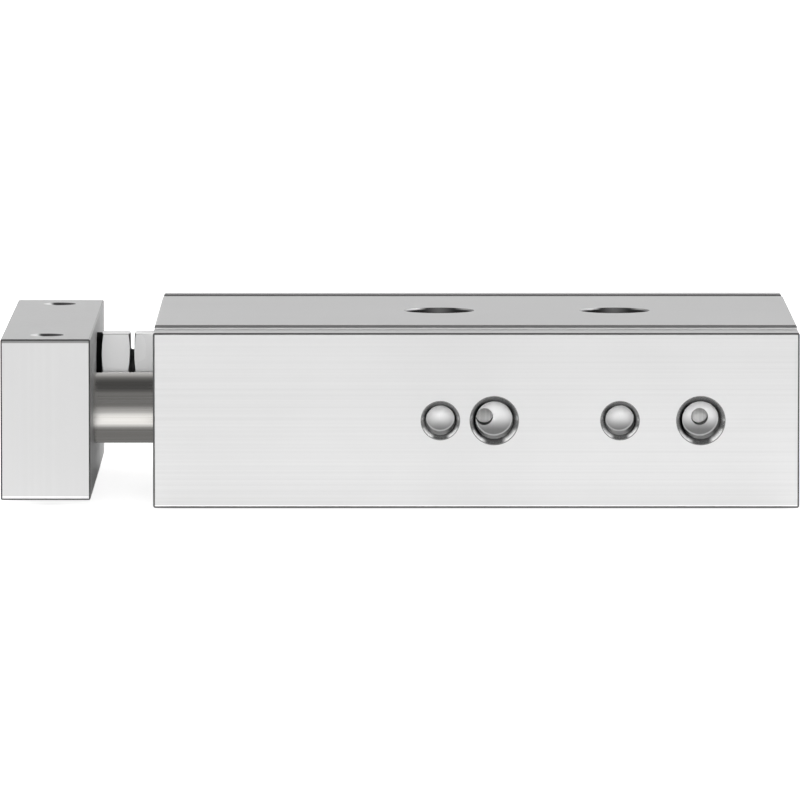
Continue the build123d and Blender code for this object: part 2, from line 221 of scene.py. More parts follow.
def grey(level):
    """A neutral colour."""
    return (level, level, level)


def new_finish(name):
    """An empty finish with its shader, and the place on the surface to paint by."""
    finish = bpy.data.materials.new(name)
    finish.use_nodes = True
    tree = finish.node_tree
    shader = tree.nodes["Principled BSDF"]
    spot = add_node(tree, "ShaderNodeTexCoord")
    return finish, tree, shader, spot


print("mixing ready, a middle grey is", grey(0.5))

# %% [markdown]
# ## Grain, specks and edges
#
# Three things turn up on nearly every metal face: a grain that runs one way, fine specks, and a
# dark line of painted shade where an edge was broken. Grain is noise that is stretched along one
# axis. The edge line is found from the surface's own direction: on a flat face one part of the
# direction is nearly 1, and on a rounded edge none is.

# %% Grain and specks
EVEN = (1.0, 1.0, 1.0)  # no stretch, for specks and clouds


def grain(tree, spot, stretch, scale, detail=3.0):
    """Noise between 0 and 1, with the given number of waves per metre along each axis."""
    mapping = add_node(tree, "ShaderNodeMapping")
    feed(tree, mapping, Vector=spot.outputs["Object"], Scale=stretch)
    noise = add_node(tree, "ShaderNodeTexNoise")
    feed(tree, noise, Vector=mapping.outputs[0], Scale=scale, Detail=detail)
    return noise.outputs["Fac"]


def contrast(tree, noise):
    """Noise gathers round a half, so its middle part is stretched to reach from 0 to 1."""
    return remap(tree, noise, 0.35, 0.65)


def by_noise(tree, noise, low, high):
    """A number that follows noise from a low value to a high one."""
    return remap(tree, noise, 0.3, 0.7, low, high)


def rough_bump(tree, shader, height, strength, distance):
    """Lets a pattern raise the surface a little."""
    bump = add_node(tree, "ShaderNodeBump")
    feed(tree, bump, Height=height, Strength=strength, Distance=distance)
    tree.links.new(bump.outputs[0], shader.inputs["Normal"])


print("grain ready")

# %% Direction and place of the surface
def leaning(tree, spot, axis):
    """Which way a face looks along one axis, between -1 and 1."""
    parts = add_node(tree, "ShaderNodeSeparateXYZ")
    tree.links.new(spot.outputs["Normal"], parts.inputs[0])
    return parts.outputs[axis]


def facing_part(tree, spot, axis):
    """How squarely a face looks along one axis, whichever way."""
    return calculate(tree, "ABSOLUTE", leaning(tree, spot, axis))


def place_part(tree, spot, axis):
    """The place along one axis, in metres."""
    parts = add_node(tree, "ShaderNodeSeparateXYZ")
    tree.links.new(spot.outputs["Object"], parts.inputs[0])
    return parts.outputs[axis]


def squarely(tree, part):
    """1 on faces whose direction is nearly all along the axis of the given part."""
    return remap(tree, part, 0.8, 0.95)


def on_edge(tree, spot):
    """1 on rounded edges, 0 on faces that are square with an axis."""
    parts = [facing_part(tree, spot, axis) for axis in range(3)]
    steepest = either(tree, either(tree, parts[0], parts[1]), parts[2])
    return remap(tree, steepest, 0.975, 0.998, 1.0, 0.0)


print("edge finder ready")

# %% [markdown]
# ## Bright walls inside the holes
#
# Holes are cut after brushing, so their walls and floors are bare bright metal that mirrors the
# room. A second material could be put on those faces, but the holes are part of one solid. So the
# finish asks how deep a point lies below the outside of its block, and lays a second look over
# the first one there.

# %% Depth below the outside of a block
def within(tree, value, middle, reach, soft=0.05 * MM):
    """1 where a place is nearer to the middle than the reach, fading over a short width."""
    away = calculate(tree, "ABSOLUTE", calculate(tree, "SUBTRACT", value, middle))
    return remap(tree, away, reach - soft, reach, 1.0, 0.0)


def inside_block(tree, spot, low, high, skin):
    """1 where a point lies deeper than the skin below all six sides of a block."""
    shares = []
    for axis in range(3):
        middle = (low[axis] + high[axis]) / 2
        reach = (high[axis] - low[axis]) / 2 - skin[axis]
        shares.append(within(tree, place_part(tree, spot, axis), middle, reach))
    return both(tree, both(tree, shares[0], shares[1]), shares[2])


print("depth finder ready")

# %% Looks, laid one over another
def lay_over(tree, share, under, over):
    """Lays one look over another. A look is a colour, a share of metal and a roughness."""
    colour = blend_colours(tree, share, under[0], over[0])
    metal = choose(tree, share, under[1], over[1])
    rough = choose(tree, share, under[2], over[2])
    return colour, metal, rough


def send(tree, shader, look):
    """Wires a finished look to the shader."""
    feed(tree, shader, Base_Color=look[0], Metallic=look[1], Roughness=look[2])


drilled_bright = (grey(0.95), 0.35, 0.35)
print("bright cuts ready")

# %% [markdown]
# ## Anodised aluminium of the barrel
#
# The barrel is an extrusion, brushed along its length and clear anodised. That gives a pale grey,
# nearly matt face with faint streaks along X. Its edges and the steps between the raised land and
# the shallow recesses get thin dark lines of painted shade, and the finish finds where they go:
# rounded edges by their direction, steps by their place. The sides are painted lighter low down,
# the top faces get a tone of their own, both as painted light, and a thin painted highlight runs
# round the foot.

# %% Brushed faces of the barrel
side_shade, side_pale = grey(0.606), grey(0.722)
flat_shade, flat_pale = grey(0.65), grey(0.68)
# Height and half width of the painted highlight round the barrel's foot.
barrel_foot = 0.49 * MM
foot_highlight_half = 0.08 * MM


def painted_foot_highlight(tree, spot, height):
    """1 on a thin line round the foot of a block, for a painted highlight of the floor's light."""
    return within(tree, place_part(tree, spot, 2), height, foot_highlight_half)


def brushed_barrel(tree, spot, streaks):
    """Pale grey with streaks along X; the sides are painted lighter low down, as floor light."""
    cloud = grain(tree, spot, EVEN, 38.0)
    tone = contrast(tree, weighted(tree, streaks, 0.55, cloud, 0.45))
    painted_floor_light = remap(tree, place_part(tree, spot, 2), body_high.z, body_low.z)
    share = weighted(tree, tone, 0.5, painted_floor_light, 0.5)
    sides = blend_colours(tree, share, side_shade, side_pale)
    # The upward faces get a tone of their own, which is painted light.
    flats = blend_colours(tree, tone, flat_shade, flat_pale)
    pale = blend_colours(tree, squarely(tree, facing_part(tree, spot, 2)), sides, flats)
    return blend_colours(tree, painted_foot_highlight(tree, spot, body_low.z + barrel_foot), pale, grey(1.0))


print("brushed faces ready")

# %% Painted shade on the edges of the barrel
strip_width = 2.4 * MM
recess_inset = 2.05 * MM
land_drop = 0.36 * MM
recess_drop = 0.5 * MM
step_shade_share = 0.93


def long_edge(tree, spot):
    """1 on rounded edges that border a long side, 0 on faces and on edges across the top."""
    return both(tree, on_edge(tree, spot), remap(tree, facing_part(tree, spot, 1), 0.08, 0.16))


def barrel_edge_shade(tree, spot):
    """Painted shade: 1 on rounded edges and on the low steps of the lands and recesses."""
    across = calculate(tree, "ABSOLUTE", place_part(tree, spot, 1))
    step_y = (body_high.y - body_low.y) / 2 - strip_width
    inside = remap(tree, across, step_y, step_y + 0.1 * MM, 1.0, 0.0)
    upward = calculate(tree, "SUBTRACT", place_part(tree, spot, 2), mid_z)
    from_middle = calculate(tree, "ABSOLUTE", upward)
    land_foot = remap(tree, from_middle, mid_z - land_drop, mid_z - land_drop + 0.08 * MM)
    beside = remap(tree, across, step_y - recess_inset, step_y - recess_inset + 0.05 * MM)
    strip_foot = remap(tree, from_middle, mid_z - recess_drop, mid_z - recess_drop + 0.06 * MM)
    outer = either(tree, land_foot, both(tree, beside, strip_foot))
    upright = remap(tree, facing_part(tree, spot, 1), 0.6, 0.8)
    step = both(tree, both(tree, inside, outer), upright)
    return either(tree, long_edge(tree, spot), both(tree, step, step_shade_share))


print("edge lines ready")

# %% [markdown]
# ## Cuts in the barrel
#
# Each kind of cut catches the light in its own way. A countersink mirrors the room and gets
# darker toward its throat. A drill point is pale above and dark below, because its upper half
# looks down at the lit floor and its lower half up at the dark ceiling. A counterbore's wall is
# dark at both sides. Rays that bounce many times in a deep hole would show this in the end, but
# they take long, so this light and shade is painted on, by the direction, the depth and the place
# of the surface, with thin painted highlights on rims.

# %% Threaded holes in the narrow sides
port_reach = 3.2 * MM
mouth_depth = 0.75 * MM
points_depth = 4.0 * MM
port_rim_depth = 4.55 * MM
side_rim_depth = 5.05 * MM
bore_depth = 8.3 * MM
rim_half = 0.07 * MM
fade = 0.1 * MM
# Tones of the painted light and shade in the holes.
wall_middle, wall_sides, deep_wall_shade = grey(0.45), grey(0.10), grey(0.03)
point_below, point_above = grey(0.20), grey(1.0)
ring_outer, ring_inner, ring_dark_shade = grey(0.85), grey(0.20), grey(0.01)


def shaded_lean(tree, spot):
    """The share of the ports, and how far a wall turns to the dark side of its hole."""
    x = place_part(tree, spot, 0)
    ports = [within(tree, x, port_x, port_reach) for port_x in port_places.values()]
    in_port = either(tree, *ports)
    lean = leaning(tree, spot, 0)
    return in_port, choose(tree, in_port, both(tree, lean, -1.0), lean)


def hole_walls(tree, spot, depth, lean):
    """Grey walls in painted shade: darker at both sides, black at the dark side and past the drill
    points.
    """
    at_sides = remap(tree, facing_part(tree, spot, 0), 0.45, 0.8)
    walls = blend_colours(tree, at_sides, wall_middle, wall_sides)
    past_points = remap(tree, depth, side_rim_depth, side_rim_depth + fade)
    walls = blend_colours(tree, past_points, walls, deep_wall_shade)
    return blend_colours(tree, remap(tree, lean, 0.25, 0.8), walls, grey(0.0))


def drill_points(tree, spot, depth, in_port):
    """Cones, pale above and grey below as painted light, with a thin painted highlight on the rim.
    """
    height = calculate(tree, "SUBTRACT", place_part(tree, spot, 2), mid_z)
    above = remap(tree, height, -1.6 * MM, 0.5 * MM)
    points = blend_colours(tree, above, point_below, point_above)
    rim_depth = choose(tree, in_port, side_rim_depth, port_rim_depth)
    past_rim = calculate(tree, "SUBTRACT", depth, rim_depth)
    rim_highlight = both(tree, within(tree, past_rim, 0.0, rim_half), 0.4)
    return blend_colours(tree, rim_highlight, points, grey(1.0))


def countersink_ring(tree, depth, lean):
    """A mirror with painted shade that gets darker toward the thread, most of all at the dark
    side.
    """
    inward = remap(tree, depth, 0.15 * MM, 0.65 * MM)
    ring = blend_colours(tree, inward, ring_outer, ring_inner)
    off_rim = remap(tree, depth, 0.25 * MM, 0.5 * MM)
    ring_shade = both(tree, remap(tree, lean, 0.1, 0.6), off_rim)
    return blend_colours(tree, ring_shade, ring, ring_dark_shade)


print("hole looks ready")

# %% Looks of the side holes, laid over the barrel
wall_rough = 0.5
countersink_rough = 0.16


def side_cuts(tree, spot, look, deep):
    """Lays the looks of the threaded holes in the two narrow sides over a look."""
    across = calculate(tree, "ABSOLUTE", place_part(tree, spot, 1))
    depth = calculate(tree, "SUBTRACT", body_high.y, across)
    in_side = both(tree, deep, remap(tree, depth, bore_depth, bore_depth + fade, 1.0, 0.0))
    slope = facing_part(tree, spot, 1)
    in_port, lean = shaded_lean(tree, spot)
    walls = hole_walls(tree, spot, depth, lean)
    look = lay_over(tree, in_side, look, (walls, 0.0, wall_rough))
    at_point = both(tree, in_side, remap(tree, depth, points_depth, points_depth + fade))
    at_point = both(tree, at_point, remap(tree, slope, 0.4, 0.5))
    points = drill_points(tree, spot, depth, in_port)
    look = lay_over(tree, at_point, look, (points, 0.0, wall_rough))
    not_flat = remap(tree, slope, 0.75, 0.81, 1.0, 0.0)
    slanted = both(tree, remap(tree, slope, 0.60, 0.66), not_flat)
    shallow = remap(tree, depth, mouth_depth, mouth_depth + 0.05 * MM, 1.0, 0.0)
    mouth = both(tree, both(tree, slanted, shallow), deep)
    ring = countersink_ring(tree, depth, lean)
    return lay_over(tree, mouth, look, (ring, 1.0, countersink_rough))


print("side holes ready")

# %% Look of the counterbored holes
seat_reach = 6.0 * MM
end_skin = 0.2 * MM
seat_rough = 0.4


def seat_cuts(tree, spot, look):
    """Lays the look of the counterbored holes on the centre line over a look."""
    # The walls are painted shade, with painted highlights at both ends near the rim.
    middle = remap(tree, facing_part(tree, spot, 0), 0.0, 0.5, 0.12, 0.02)
    height = place_part(tree, spot, 2)
    near_rim = remap(tree, height, body_high.z - 0.26 * MM, body_high.z - 0.1 * MM)
    lean = leaning(tree, spot, 0)
    left_tip = remap(tree, lean, 0.3, 0.7, 0.0, 1.0)
    right_tip = remap(tree, lean, -0.75, -0.35, 0.35, 0.0)
    tip_highlights = both(tree, near_rim, either(tree, left_tip, right_tip))
    walls = blend_colours(tree, either(tree, middle, tip_highlights), grey(0.0), grey(1.0))
    near_middle = within(tree, place_part(tree, spot, 1), 0.0, seat_reach)
    upright = remap(tree, facing_part(tree, spot, 2), 0.7, 0.9, 1.0, 0.0)
    inner_half = body_high.x - body_mid_x - end_skin
    off_ends = within(tree, place_part(tree, spot, 0), body_mid_x, inner_half)
    seat = both(tree, both(tree, near_middle, upright), off_ends)
    return lay_over(tree, seat, look, (walls, 0.0, seat_rough))


print("counterbores ready")

# %% Barrel finish
anodised_metal = 0.25
anodised_rough = (0.36, 0.46)
# The tone of the painted shade on edges and steps.
edge_shade_tone = grey(0.10)
hole_skin = (0.2 * MM, 0.05 * MM, 0.6 * MM)


def barrel_aluminium():
    """Brushed, anodised faces, painted edge shade, bright cuts with painted light and shade."""
    finish, tree, shader, spot = new_finish("barrel_aluminium_anodised")
    streaks = grain(tree, spot, (6.0, 3000.0, 3000.0), 1.0, 4.0)
    faces = brushed_barrel(tree, spot, streaks)
    colour = blend_colours(tree, barrel_edge_shade(tree, spot), faces, edge_shade_tone)
    look = (colour, anodised_metal, by_noise(tree, streaks, *anodised_rough))
    deep = inside_block(tree, spot, body_low, body_high, hole_skin)
    look = lay_over(tree, deep, look, drilled_bright)
    look = side_cuts(tree, spot, look, deep)
    look = seat_cuts(tree, spot, look)
    send(tree, shader, look)
    specks = grain(tree, spot, EVEN, 5200.0, 1.0)
    ridges = weighted(tree, streaks, 1.0, specks, 0.4)
    rough_bump(tree, shader, ridges, remap(tree, deep, 0.0, 1.0, 0.12, 0.0), 0.02 * MM)
    return finish


print("barrel finish ready")

# %% [markdown]
# ## The yoke and the turned aluminium pieces
#
# The yoke is milled from plate and anodised like the barrel, with a grain that stands upright.
# The covers and caps in the bores are turned, so their grain runs in rings round the bore. Rings
# come from noise that knows the distance from the axis and the place along it, but no direction.

# %% Faces of the yoke, with painted light and shade
yoke_foot = 0.37 * MM
band_shade_depth = 0.46 * MM
load_y = 22.0 * MM
load_reach = 2.1 * MM
# Tones of the faces and of the painted shade: the face toward the barrel, the edges, the band.
yoke_tones_and_painted_shade = {"side shade": 0.61, "side pale": 0.635, "flat shade": 0.635, "flat pale": 0.66,
              "inner face shade": 0.46, "cross edge shade": 0.45, "band": 0.24, "long edge shade": 0.06}


def yoke_faces(tree, spot, streaks):
    """Pale faces; painted shade on the face toward the barrel and a band under the long sides' top
    edge.
    """
    tone = {part: grey(level) for part, level in yoke_tones_and_painted_shade.items()}
    cloud = grain(tree, spot, EVEN, 60.0)
    share = contrast(tree, weighted(tree, streaks, 0.5, cloud, 0.5))
    sides = blend_colours(tree, share, tone["side shade"], tone["side pale"])
    # The upward faces get a tone of their own, which is painted light.
    flats = blend_colours(tree, share, tone["flat shade"], tone["flat pale"])
    pale = blend_colours(tree, squarely(tree, facing_part(tree, spot, 2)), sides, flats)
    painted_light_toward_barrel = squarely(tree, leaning(tree, spot, 0))
    pale = blend_colours(tree, painted_light_toward_barrel, pale, tone["inner face shade"])
    pale = blend_colours(tree, on_edge(tree, spot), pale, tone["cross edge shade"])
    # A band of painted shade under the top edge of the long sides, and painted shade on the edges.
    band_foot = yoke_high.z - band_shade_depth
    near_top = remap(tree, place_part(tree, spot, 2), band_foot, band_foot + 0.1 * MM)
    band = both(tree, squarely(tree, facing_part(tree, spot, 1)), near_top)
    pale = blend_colours(tree, band, pale, tone["band"])
    pale = blend_colours(tree, painted_foot_highlight(tree, spot, yoke_low.z + yoke_foot), pale, grey(1.0))
    return blend_colours(tree, long_edge(tree, spot), pale, tone["long edge shade"])


def in_load_holes(tree, spot):
    """1 round the axes of the upright holes near the yoke's two ends."""
    across = calculate(tree, "ABSOLUTE", place_part(tree, spot, 1))
    beside = within(tree, across, load_y, load_reach)
    along = within(tree, place_part(tree, spot, 0), yoke_mid_x, load_reach)
    return both(tree, beside, along)


print("yoke faces ready")

# %% Yoke finish
yoke_skin = [0.15 * MM] * 3


def yoke_aluminium():
    """Anodised plate whose upright holes have painted light at one side and painted shade at the
    other.
    """
    finish, tree, shader, spot = new_finish("yoke_aluminium_anodised")
    streaks = grain(tree, spot, (1500.0, 1500.0, 9.0), 1.0, 4.0)
    faces = yoke_faces(tree, spot, streaks)
    look = (faces, anodised_metal, by_noise(tree, streaks, *anodised_rough))
    deep = inside_block(tree, spot, yoke_low, yoke_high, yoke_skin)
    look = lay_over(tree, deep, look, drilled_bright)
    upright = remap(tree, facing_part(tree, spot, 2), 0.75, 0.85, 1.0, 0.0)
    lit_wall = remap(tree, leaning(tree, spot, 0), 0.25, 0.5)
    walls = blend_colours(tree, lit_wall, grey(0.05), grey(1.0))
    holes = both(tree, upright, in_load_holes(tree, spot))
    look = lay_over(tree, holes, look, (walls, 0.0, seat_rough))
    send(tree, shader, look)
    rough_bump(tree, shader, streaks, remap(tree, deep, 0.0, 1.0, 0.1, 0.0), 0.02 * MM)
    return finish


print("yoke finish ready")

# %% Turned aluminium finish
def turned_rings(tree, spot, waves):
    """Noise in rings round the nearer bore, by distance from its axis and place along it."""
    bore_y = abs((rod_low.y + rod_high.y) / 2)
    across = calculate(tree, "ABSOLUTE", place_part(tree, spot, 1))
    sideways = calculate(tree, "SUBTRACT", across, bore_y)
    upward = calculate(tree, "SUBTRACT", place_part(tree, spot, 2), mid_z)
    squares = [calculate(tree, "POWER", part, 2.0) for part in (sideways, upward)]
    radius = calculate(tree, "SQRT", calculate(tree, "ADD", *squares))
    joined = add_node(tree, "ShaderNodeCombineXYZ")
    feed(tree, joined, X=radius, Y=place_part(tree, spot, 0))
    noise = add_node(tree, "ShaderNodeTexNoise")
    feed(tree, noise, Vector=joined.outputs[0], Scale=waves, Detail=3.0)
    return noise.outputs["Fac"]


def turned_aluminium():
    """Plain turned metal for the covers, caps and pistons."""
    finish, tree, shader, spot = new_finish("turned_aluminium_plain")
    rings = turned_rings(tree, spot, 9000.0)
    colour = blend_colours(tree, contrast(tree, rings), (0.55, 0.55, 0.56), (0.70, 0.70, 0.71))
    rough = by_noise(tree, rings, 0.28, 0.42)
    feed(tree, shader, Base_Color=colour, Metallic=0.75, Roughness=rough)
    rough_bump(tree, shader, rings, 0.25, 0.02 * MM)
    return finish


print("turned finish ready")

# %% [markdown]
# ## Steels
#
# The rods are hardened, ground and polished: a dark, slightly warm mirror with very fine lines.
# The nut is satin nickel and the screws are zinc plated, which is softer in its shine. Spring
# steel and black oxide are nearly black. One function could serve all with many settings, but each
# has its own pattern, so each has its own short function. The plain ones, whose tone and roughness
# follow one noise, share a helper.

# %% Rods and a helper for plain finishes
def ground_rod_steel():
    """Polished steel with very fine lines along the rod."""
    finish, tree, shader, spot = new_finish("ground_rod_steel_polished")
    lines = grain(tree, spot, (25.0, 4200.0, 4200.0), 1.0, 2.0)
    colour = blend_colours(tree, contrast(tree, lines), (0.70, 0.68, 0.65), (0.765, 0.75, 0.725))
    rough = by_noise(tree, lines, 0.10, 0.16)
    feed(tree, shader, Base_Color=colour, Metallic=1.0, Roughness=rough)
    rough_bump(tree, shader, lines, 0.02, 0.01 * MM)
    return finish


def speckled(name, tones, waves, rough_ends, metal=0.0, bump=0.2, bump_height=0.03 * MM):
    """A finish whose tone and roughness both follow fine specks."""
    finish, tree, shader, spot = new_finish(name)
    specks = grain(tree, spot, EVEN, waves)
    colour = blend_colours(tree, contrast(tree, specks), *tones)
    rough = by_noise(tree, specks, *rough_ends)
    feed(tree, shader, Base_Color=colour, Metallic=metal, Roughness=rough)
    rough_bump(tree, shader, specks, bump, bump_height)
    return finish


print("rod finish ready")

# %% Nut finish
# Painted light and shade: lighter low down, bright tops, dark line and ends, lift near the barrel.
nut_tones_and_painted_light = {"low": 0.70, "high": 0.66, "cloud": 0.5, "top": 0.98, "line": 0.40,
             "painted lift near barrel": 0.86, "ends": 0.10}


def nut_steel():
    """Satin nickel with pale flats, and painted light and shade: a line under the top edge, dark
    end chamfers.
    """
    finish, tree, shader, spot = new_finish("nut_steel_satin")
    tone = {part: grey(level) for part, level in nut_tones_and_painted_light.items()}
    cloud = grain(tree, spot, EVEN, 120.0)
    height = calculate(tree, "SUBTRACT", place_part(tree, spot, 2), stop_z)
    half_flats = (nut_high.z - nut_low.z) / 2
    face = blend_colours(tree, remap(tree, height, 0.0, half_flats), tone["low"], tone["high"])
    face = blend_colours(tree, both(tree, cloud, 0.04), face, tone["cloud"])
    level_face_highlight = squarely(tree, facing_part(tree, spot, 2))
    face = blend_colours(tree, level_face_highlight, face, tone["top"])
    under_edge = remap(tree, height, half_flats - 0.14 * MM, half_flats - 0.08 * MM)
    line = both(tree, under_edge, calculate(tree, "SUBTRACT", 1.0, level_face_highlight))
    face = blend_colours(tree, line, face, tone["line"])
    painted_light_toward_barrel = remap(tree, place_part(tree, spot, 0), nut_high.x, stop_high.x)
    face = blend_colours(tree, painted_light_toward_barrel, face, tone["painted lift near barrel"])
    # The end chamfers are darkened as painted shade.
    ends = remap(tree, facing_part(tree, spot, 0), 0.5, 0.8)
    face = blend_colours(tree, ends, face, tone["ends"])
    rough = by_noise(tree, cloud, 0.24, 0.30)
    feed(tree, shader, Base_Color=face, Metallic=0.0, Roughness=rough)
    return finish


print("nut finish ready")

# %% Screws, thread and spring rings
def shaded_thread_steel():
    """Nearly black: painted shade for the thread in the narrow gap between the nut and the head.
    """
    finish, tree, shader, spot = new_finish("shaded_thread_steel")
    cloud = grain(tree, spot, EVEN, 1500.0)
    colour = blend_colours(tree, remap(tree, cloud, 0.3, 0.7), grey(0.012), grey(0.03))
    rough = by_noise(tree, cloud, 0.5, 0.6)
    feed(tree, shader, Base_Color=colour, Metallic=0.0, Roughness=rough, Specular_IOR_Level=0.15)
    return finish


def zinc_steel():
    """Zinc over steel: a soft shine with cloudy tones and tiny pits."""
    finish, tree, shader, spot = new_finish("zinc_steel_screw")
    cloud = grain(tree, spot, EVEN, 900.0)
    colour = blend_colours(tree, contrast(tree, cloud), (0.40, 0.405, 0.42), (0.48, 0.48, 0.49))
    rough = by_noise(tree, cloud, 0.26, 0.38)
    feed(tree, shader, Base_Color=colour, Metallic=0.8, Roughness=rough)
    rough_bump(tree, shader, grain(tree, spot, EVEN, 6500.0, 1.0), 0.04, 0.02 * MM)
    return finish


def black_steel():
    """Black oxide on screws and plugs."""
    finish, tree, shader, spot = new_finish("black_oxide_steel")
    cloud = grain(tree, spot, EVEN, 1200.0)
    dark, light = (0.018, 0.018, 0.02), (0.045, 0.045, 0.048)
    colour = blend_colours(tree, remap(tree, cloud, 0.3, 0.7), dark, light)
    rough = by_noise(tree, cloud, 0.32, 0.45)
    feed(tree, shader, Base_Color=colour, Metallic=0.4, Roughness=rough)
    rough_bump(tree, shader, cloud, 0.1, 0.02 * MM)
    return finish


def spring_steel():
    """Phosphated spring rings, grey black and matt."""
    tones = (0.055, 0.055, 0.06), (0.11, 0.108, 0.105)
    return speckled("spring_steel_phosphated", tones, 3200.0, (0.38, 0.52), 0.6, 0.15, 0.02 * MM)


print("steels ready")

# %% [markdown]
# ## Bronze, ferrite, rubber and plastics
#
# The rest is soft or sintered, and matt. The bushings are pressed bronze powder with visible
# pores, the magnets are dark ferrite, the seals and the washer are black rubber. The washer under
# the lock nut is the blackest thing in the photograph.

# %% Bronze, ferrite and rubber finishes
def bearing_bronze():
    """Pressed bronze powder with pores."""
    tones = (0.26, 0.15, 0.06), (0.48, 0.31, 0.14)
    return speckled("bearing_bronze_sintered", tones, 2600.0, (0.4, 0.6), 0.8)


def magnet_ferrite():
    """Dark, dull ring magnets."""
    tones = (0.03, 0.03, 0.032), (0.07, 0.068, 0.066)
    return speckled("magnet_ferrite_pressed", tones, 2000.0, (0.55, 0.75), 0.3)


def seal_rubber():
    """Black nitrile rubber of the seals."""
    tones = grey(0.012), grey(0.024)
    return speckled("seal_rubber_black", tones, 1500.0, (0.45, 0.6))


def washer_rubber():
    """The blackest piece, with hardly any shine."""
    finish = speckled("washer_rubber_black", (grey(0.001), grey(0.002)), 1500.0, (0.8, 0.9))
    tree = finish.node_tree
    feed(tree, tree.nodes["Principled BSDF"], Specular_IOR_Level=0.15)
    return finish


print("bronze, ferrite and rubber ready")

# %% Plastic finishes
def bumper_polymer():
    """Pale moulded plastic with fine rings. It shows at the bottom of the air drillings."""
    finish, tree, shader, spot = new_finish("bumper_polymer_pale")
    rings = grain(tree, spot, (3200.0, 60.0, 60.0), 1.0, 2.0)
    colour = blend_colours(tree, contrast(tree, rings), (0.66, 0.66, 0.65), (0.84, 0.84, 0.83))
    rough = by_noise(tree, rings, 0.45, 0.6)
    feed(tree, shader, Base_Color=colour, Metallic=0.0, Roughness=rough)
    rough_bump(tree, shader, rings, 0.1, 0.02 * MM)
    return finish


def pad_plastic():
    """Hard ivory plastic of the stop screw's pad."""
    tones = (0.55, 0.53, 0.47), (0.64, 0.62, 0.56)
    return speckled("pad_plastic_ivory", tones, 1300.0, (0.35, 0.5))


print("plastics ready")

# %% [markdown]
# ## Giving every solid part its finish
#
# The record says which kind of material each part is made of. The same names are used for the
# finishes above, so a dictionary joins the two, and no part can be forgotten.

# %% Dress the solid parts
finish_makers = {
    "barrel_aluminium": barrel_aluminium,
    "yoke_aluminium": yoke_aluminium,
    "turned_aluminium": turned_aluminium,
    "bearing_bronze": bearing_bronze,
    "ground_rod_steel": ground_rod_steel,
    "nut_steel": nut_steel,
    "zinc_steel": zinc_steel,
    "black_steel": black_steel,
    "spring_steel": spring_steel,
    "magnet_ferrite": magnet_ferrite,
    "seal_rubber": seal_rubber,
    "washer_rubber": washer_rubber,
    "bumper_polymer": bumper_polymer,
    "pad_plastic": pad_plastic,
}
finishes = {slot_name: make() for slot_name, make in finish_makers.items()}
slot_of = {part["node"]: part["material_slot"] for part in frame["record"]["subparts"]}
for part_name, part in frame["nodes"].items():
    part.data.materials.clear()
    part.data.materials.append(finishes[slot_of[part_name]])
print(len(slot_of), "parts dressed with", len(finishes), "finishes")

# %% [markdown]
# ## A thread ridge
#
# A screw thread is one ridge that climbs round a cylinder. Blender's Screw modifier can sweep a
# profile like that, but its ends stay cut off square. Here the ridge is laid point by point along
# the helix, and its height dies away over the last half turn at both ends, as a cut thread does.
# The same function makes threads on a shank and threads in a hole.

# %% Thread ridge
STEPS_PER_TURN = 36
FOOT_HALF = 0.42  # half widths of the ridge, as shares of its pitch
CREST_HALF = 0.08
WELD_REACH = 1e-7


def thread_ridge(root, crest, pitch, length):
    """A closed ridge along Z from 0 to length. Its foot is at radius root, its top at crest."""
    mesh = bmesh.new()
    turns = length / pitch - 1
    steps = int(turns * STEPS_PER_TURN)
    rings = []
    for step in range(steps + 1):
        angle = 2 * math.pi * step / STEPS_PER_TURN
        height = pitch / 2 + pitch * step / STEPS_PER_TURN
        from_end = min(step, steps - step) / (STEPS_PER_TURN / 2)
        top = root + (crest - root) * min(1.0, from_end)
        profile = (
            (root, -FOOT_HALF), (top, -CREST_HALF), (top, CREST_HALF), (root, FOOT_HALF),
        )
        ring = []
        for radius, along in profile:
            place = (radius * math.cos(angle), radius * math.sin(angle), height + along * pitch)
            ring.append(mesh.verts.new(place))
        rings.append(ring)
    for here, there in zip(rings, rings[1:]):
        for corner in range(4):
            after = (corner + 1) % 4
            mesh.faces.new((here[corner], here[after], there[after], there[corner]))
    mesh.faces.new(rings[0])
    mesh.faces.new(rings[-1])
    bmesh.ops.remove_doubles(mesh, verts=mesh.verts, dist=WELD_REACH)
    bmesh.ops.recalc_face_normals(mesh, faces=mesh.faces)
    return mesh


def add_piece(name, mesh, slot_name, body, turn=Matrix.Identity(4), place=(0, 0, 0)):
    """Turns a bmesh into a named piece with its finish, riding on its body."""
    data = bpy.data.meshes.new(name)
    mesh.transform(Matrix.Translation(place) @ turn)
    mesh.to_mesh(data)
    mesh.free()
    data.materials.append(finishes[slot_name])
    piece = bpy.data.objects.new(name, data)
    bpy.context.scene.collection.objects.link(piece)
    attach(piece, body)
    return piece


print("thread ridge ready")

# %% [markdown]
# ## Threads in the barrel's and the yoke's holes
#
# The holes in the solid parts are drilled to their core size. A tapped hole shows a stack of thin
# ridges just inside its countersink, so each hole gets a ridge that stands a little inward from
# its wall. The far ports are closed by plugs, so they need none.

# %% Threads in the holes
M4_PITCH = 0.7 * MM
M5_PITCH = 0.8 * MM
M4_CORE = 1.65 * MM
M5_CORE = 2.1 * MM
thread_height = 0.06 * MM
buried = 0.02 * MM

ways_in = {
    "near": Matrix.Rotation(-math.pi / 2, 4, "X"),
    "far": Matrix.Rotation(math.pi / 2, 4, "X"),
    "down": Matrix.Rotation(math.pi, 4, "X"),
    "up": Matrix.Identity(4),
    "back": Matrix.Rotation(math.pi / 2, 4, "Y"),
}


def tapped_hole(name, place, way_in, core, pitch, length, slot_name, body):
    """A ridge in a drilled hole. The place is on the hole's axis, where the thread starts."""
    mesh = thread_ridge(core + buried, core - thread_height, pitch, length)
    return add_piece(name, mesh, slot_name, body, ways_in[way_in], place)


